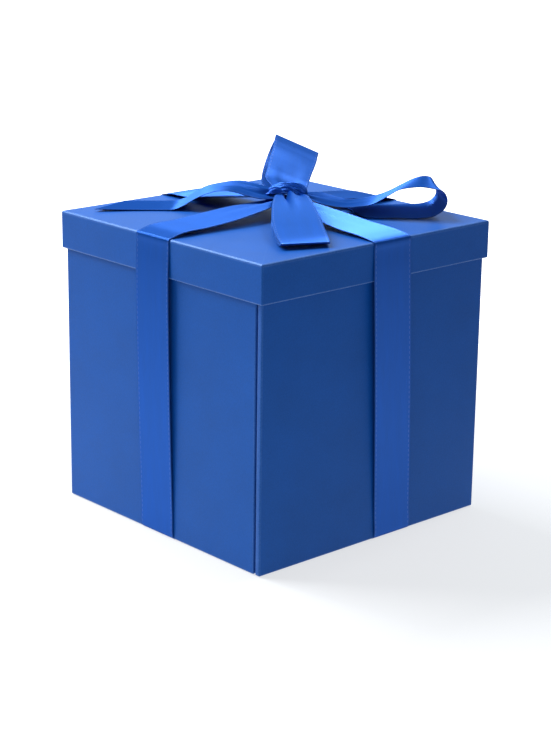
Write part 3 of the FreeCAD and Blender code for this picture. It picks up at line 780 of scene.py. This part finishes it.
def knot_stations():
    """The cloth of the knot: once round an ellipse over the gathered loops, leaning to the rear.

    Its middle runs round an ellipse of half sizes 9 mm across and 3.7 mm up, from -150 to 150 degrees.
    Its share of the width is 0.38, plus a swell at the left end and less a pinch at the right end, both
    bell curves of the place across. It leans back by 26 degrees plus a sine of the turn.
    """
    turn = np.radians(np.linspace(-150, 150, 31))
    across = 9.0 * np.sin(turn) - 0.6
    up = 9.9 + 3.7 * np.cos(turn)
    share = 0.38 + 0.06 * np.exp(-(((across + 7.5) / 3) ** 2)) - 0.1 * np.exp(-(((across - 9) / 3) ** 2))
    lean = np.radians(26) + 0.25 * np.sin(turn)
    back = 0.5 * np.sin(2 * turn) - 0.45 * (across + 0.6)
    return np.stack([across, back, up, 0.4 * share, 0.9 * share * np.cos(lean), share * np.sin(lean)],
                    axis=1)


# ---------------------------------------------------------------- studio
FLOOR_REACH = 12.0  # metres from the middle to each side of the floor
LAMP_AIM = np.array([0.0, 0.0, 0.09])
CAMERA_PLACE = (0.69671, -0.63354, 0.35273)  # metres
CAMERA_TURN = (73.487, -0.7507, 47.8443)  # degrees
LENS, SENSOR = 93.016, 36.0  # millimetres


# ---------------------------------------------------------------- operators
class GIFTBOX_OT_box_paper(Operator):
    """Cover the walls with blue paper, turned in at the rims and at the slit"""

    bl_idname = "giftbox.box_paper"
    bl_label = "Box paper"

    def execute(self, context):
        sizes = context.scene.gift_paper
        grid, edges = wall_paper_grid(sizes.corner, sizes.rim, sizes.swell)
        piece = closed_skin("box_paper", grid, "box", {"edge": edges})
        piece.data.materials.append(covering_paper())
        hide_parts("wall_wrap")
        return {"FINISHED"}


class GIFTBOX_OT_lid_paper(Operator):
    """Cover the lid with blue paper, turned in under the skirt"""

    bl_idname = "giftbox.lid_paper"
    bl_label = "Lid paper"

    def execute(self, context):
        sizes = context.scene.gift_paper
        grid, edges = lid_paper_grid(sizes.lid_edge, sizes.lid_corner, sizes.lid_foot, sizes.lid_swell)
        piece = closed_skin("lid_paper", grid, "lid", {"edge": edges})
        piece.data.materials.append(covering_paper())
        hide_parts("lid_wrap")
        return {"FINISHED"}


class GIFTBOX_OT_boards(Operator):
    """Give the boards, linings and tapes their bare paper and board"""

    bl_idname = "giftbox.boards"
    bl_label = "Boards, linings and tapes"

    def execute(self, context):
        board = plain_paper("grey board", (0.42, 0.40, 0.37), (0.25, 0.24, 0.22), 900.0, 0.75)
        lining = plain_paper("white lining paper", (0.84, 0.83, 0.8), (0.76, 0.75, 0.72), 1300.0, 0.62)
        tape = plain_paper("gummed paper tape", (0.68, 0.6, 0.48), (0.55, 0.47, 0.36), 700.0, 0.5)
        for name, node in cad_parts.items():
            finish = None
            if "board" in name:
                finish = board
            elif "liner" in name:
                finish = lining
            elif "tape" in name or "stays" in name:
                finish = tape
            elif name == "base_wrap":
                finish = covering_paper()
            if finish is None:
                continue
            for holder in node.material_slots:
                holder.material = finish
        return {"FINISHED"}


class GIFTBOX_OT_ribbon_round(Operator):
    """Lay the ribbon up each side and over the lid to the knot"""

    bl_idname = "giftbox.ribbon_round"
    bl_label = "Ribbon round the box"

    def execute(self, context):
        folds = {
            "front": [(0.3, 0.1, -0.9, 0.3, -55), (-0.5, -0.35, 0.7, 0.25, -48)],
            "right": [(0.15, 0.3, 0.9, 0.22, -62), (-0.35, -0.2, -0.8, 0.25, -50)],
            "back": [(0.2, 0.1, 0.8, 0.3, -40)],
            "left": [(-0.1, 0.1, 0.9, 0.3, -50)],
        }
        for side, values in SIDES.items():
            piece = ribbon_piece(f"ribbon_{side}", side_stations(*values), "ribbon",
                                 pleats=(0.4, 3, 0.4, 0.0), folds=folds[side])
            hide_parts(f"ribbon_{side}_arm", f"ribbon_{side}_band")
        return {"FINISHED"}


class GIFTBOX_OT_ribbon_under(Operator):
    """Lay the two ribbons that cross under the box"""

    bl_idname = "giftbox.ribbon_under"
    bl_label = "Ribbon under the box"

    def execute(self, context):
        for name, way in (("lengthwise", 1), ("crosswise", 0)):
            low, high = corners(f"ribbon_under_{name}")
            middle = (low + high) / 2
            end = float(WALLS_HIGH[way]) - 0.5 * MM
            flat, over = 0.22 * MM, 0.62 * MM
            # place along the ribbon and height of its middle; one ribbon rises over the other
            near_end = [(end - 4 * MM, flat), (end - 2 * MM, flat), (end, 0.25 * MM)]
            near_end += [(end + 0.6 * MM, 0.7 * MM)]
            line = [(-x, z) for x, z in reversed(near_end)]
            if name == "crosswise":
                line += [(-24 * MM, flat), (-20 * MM, flat), (-15 * MM, over), (-12 * MM, over),
                         (9 * MM, over), (12 * MM, over), (17 * MM, flat), (21 * MM, flat)]
            line += near_end
            middles = [float(middle[0])] * len(line)
            if name == "crosswise":
                middles = [(4.0 + 10.0 * (x + end) / (2 * end)) * MM for x, z in line]
            rows = []
            for (x, z), m in zip(line, middles):
                spot = (m, x, z) if way else (x, m, z)
                rows.append([*spot, *((-1, 0, 0) if way else (0, 1, 0))])
            piece = ribbon_piece(f"ribbon_under_{name}_cloth", rows, "box", across=17)
            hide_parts(f"ribbon_under_{name}")
        return {"FINISHED"}


class GIFTBOX_OT_knot(Operator):
    """Wrap the knot over the gathered loops"""

    bl_idname = "giftbox.knot"
    bl_label = "Knot"

    def execute(self, context):
        piece = ribbon_piece("knot", bow_stations(knot_stations()), "ribbon", across=65,
                             pleats=(0.5, 7, 0.6, 0.5), cup=-1.8,
                             folds=[(-0.95, -0.1, 1.3, 0.1, 60), (-0.6, 0.25, 1.1, 0.1, 60),
                                    (-1.2, -0.6, 1.2, 0.12, 70), (0.3, 0.9, 0.9, 0.16, 34)])
        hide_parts("bow_knot")
        return {"FINISHED"}


class GIFTBOX_OT_loops(Operator):
    """Form the standing loop and the loop that lies forward"""

    bl_idname = "giftbox.loops"
    bl_label = "Loops"

    def execute(self, context):
        piece = ribbon_piece("back_loop", bow_stations(BOW["back_loop"]), "ribbon",
                             pleats=(0.25, 3, 0.4, 0.0),
                             folds=[(0.35, 0.55, 1.3, 0.28, 34), (-0.45, -0.5, -1.0, 0.22, 26)])
        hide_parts("bow_back_loop")
        piece = ribbon_piece("front_loop", bow_stations(BOW["front_loop"]), "ribbon",
                             pleats=(0.3, 3, 0.4, 0.0),
                             folds=[(-0.3, -0.12, -2.8, 0.14, 42), (0.1, 0.12, 1.8, 0.2, 46),
                                    (0.6, 0.75, -0.8, 0.2, 26)])
        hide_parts("bow_front_loop")
        return {"FINISHED"}


class GIFTBOX_OT_tails(Operator):
    """Lay the two tails"""

    bl_idname = "giftbox.tails"
    bl_label = "Tails"

    def execute(self, context):
        piece = ribbon_piece("left_tail", bow_stations(BOW["left_tail"]), "ribbon", slant=(0.0, -0.67),
                             pleats=(0.3, 3, 0.4, 0.0),
                             folds=[(-0.2, 0.1, 1.2, 0.25, 42), (0.5, 0.3, -0.9, 0.25, 30)])
        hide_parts("bow_left_tail")
        piece = ribbon_piece("right_tail", bow_stations(BOW["right_tail"]), "ribbon", slant=(0.0, 0.5),
                             pleats=(0.3, 3, 0.4, 0.0),
                             folds=[(-0.3, 0.0, 1.1, 0.25, 44), (0.4, 0.5, -1.0, 0.25, 36)])
        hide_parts("bow_right_tail")
        return {"FINISHED"}


class GIFTBOX_OT_studio(Operator):
    """Set the floor, the backdrop, the lamps and the camera"""

    bl_idname = "giftbox.studio"
    bl_label = "Studio"

    def execute(self, context):
        studio = context.scene.gift_studio
        square = np.array([(-1, -1, 0), (1, -1, 0), (1, 1, 0), (-1, 1, 0)])
        mesh = bpy.data.meshes.new("floor")
        mesh.from_pydata((FLOOR_REACH * square).tolist(), [], [[0, 1, 2, 3]])
        floor = bpy.data.objects.new("floor", mesh)
        context.scene.collection.objects.link(floor)
        made, tree, shader = material("pale floor")
        setting(shader, Base_Color=(*studio.floor, 1.0), Roughness=0.9, Emission_Strength=studio.floor_glow)
        # a lit strip under the box, and a lit field behind it; the floor itself looks evenly pale
        spot = object_coordinates(tree)
        away = calc(tree, "ABSOLUTE", calc(tree, "ADD", dotted(tree, spot, (0.67, 0.74, 0.0)), 0.05))
        pool = ramp(tree, away, 0.17, 0.45, 1.0, 0.26)
        lit = ramp(tree, dotted(tree, spot, (-0.74, 0.67, 0.0)), 0.05, 0.6, 0.0, 1.6)
        seen = add(tree, "ShaderNodeLightPath").outputs["Is Camera Ray"]
        glow = calc(tree, "MAXIMUM", calc(tree, "ADD", pool, lit), seen)
        tree.links.new(glow, shader.inputs["Emission Color"])
        mesh.materials.append(made)

        world = bpy.data.worlds.new("backdrop")
        world.use_nodes = True
        tree = world.node_tree
        sky = tree.nodes["Background"]
        sky.inputs["Color"].default_value = (*studio.sky, 1.0)
        way = dotted(tree, add(tree, "ShaderNodeTexCoord").outputs["Generated"], (-0.71, 0.65, 0.27))
        power = ramp(tree, way, 0.55, 0.93, studio.sky_power, studio.glow_power)
        seen = add(tree, "ShaderNodeLightPath").outputs["Is Camera Ray"]
        seen = calc(tree, "MULTIPLY", seen, studio.glow_power)
        tree.links.new(calc(tree, "MAXIMUM", power, seen), sky.inputs["Strength"])
        context.scene.world = world

        # name, way to the lamp, its distance from the aim, its side and its power
        lamps = (
            ("key lamp", (-0.69, -0.42, 0.64), 1.3, studio.key_size, studio.key_power),
            ("side lamp", (-0.65, -0.05, 0.9), 1.4, studio.small_size, studio.side_power),
            ("top lamp", (0.08, 0.5, 0.86), 1.4, studio.small_size, studio.top_power),
        )
        for name, way, distance, size, power in lamps:
            light = bpy.data.lights.new(name, "AREA")
            light.shape = "SQUARE"
            light.size = size
            light.energy = power
            lamp = bpy.data.objects.new(name, light)
            way = np.array(way) / np.linalg.norm(way)
            lamp.location = LAMP_AIM + way * distance
            lamp.rotation_euler = Vector(-way).to_track_quat("-Z", "Y").to_euler()
            context.scene.collection.objects.link(lamp)

        lens = bpy.data.cameras.new("camera")
        lens.sensor_width = SENSOR
        lens.lens = LENS
        camera = bpy.data.objects.new("camera", lens)
        camera.location = CAMERA_PLACE
        camera.rotation_euler = [math.radians(angle) for angle in CAMERA_TURN]
        context.scene.collection.objects.link(camera)
        context.scene.camera = camera
        context.scene.view_settings.view_transform = "Standard"
        return {"FINISHED"}


class GIFTBOX_PT_panel(Panel):
    """Sizes, colours and the steps of the gift box"""

    bl_label = "Gift box"
    bl_idname = "GIFTBOX_PT_panel"
    bl_space_type = "VIEW_3D"
    bl_region_type = "UI"
    bl_category = "Gift box"

    def draw(self, context):
        for key, kind in SETTINGS:
            box = self.layout.box()
            for name in kind.__annotations__:
                box.prop(getattr(context.scene, key), name)
        for operator in OPERATORS:
            self.layout.operator(operator.bl_idname)


OPERATORS = (
    GIFTBOX_OT_box_paper,
    GIFTBOX_OT_lid_paper,
    GIFTBOX_OT_boards,
    GIFTBOX_OT_ribbon_round,
    GIFTBOX_OT_ribbon_under,
    GIFTBOX_OT_knot,
    GIFTBOX_OT_loops,
    GIFTBOX_OT_tails,
    GIFTBOX_OT_studio,
)


def register():
    """Registers the settings, the operators and the panel."""
    for key, kind in SETTINGS:
        bpy.utils.register_class(kind)
        setattr(bpy.types.Scene, key, PointerProperty(type=kind))
    for operator in OPERATORS:
        bpy.utils.register_class(operator)
    bpy.utils.register_class(GIFTBOX_PT_panel)


def unregister():
    """Takes away what register added."""
    bpy.utils.unregister_class(GIFTBOX_PT_panel)
    for operator in reversed(OPERATORS):
        bpy.utils.unregister_class(operator)
    for key, kind in reversed(SETTINGS):
        delattr(bpy.types.Scene, key)
        bpy.utils.unregister_class(kind)


def main():
    """Makes every piece and the studio in order."""
    register()
    bpy.ops.giftbox.box_paper()
    bpy.ops.giftbox.lid_paper()
    bpy.ops.giftbox.boards()
    bpy.ops.giftbox.ribbon_round()
    bpy.ops.giftbox.ribbon_under()
    bpy.ops.giftbox.knot()
    bpy.ops.giftbox.loops()
    bpy.ops.giftbox.tails()
    bpy.ops.giftbox.studio()


if __name__ == "__main__":
    main()
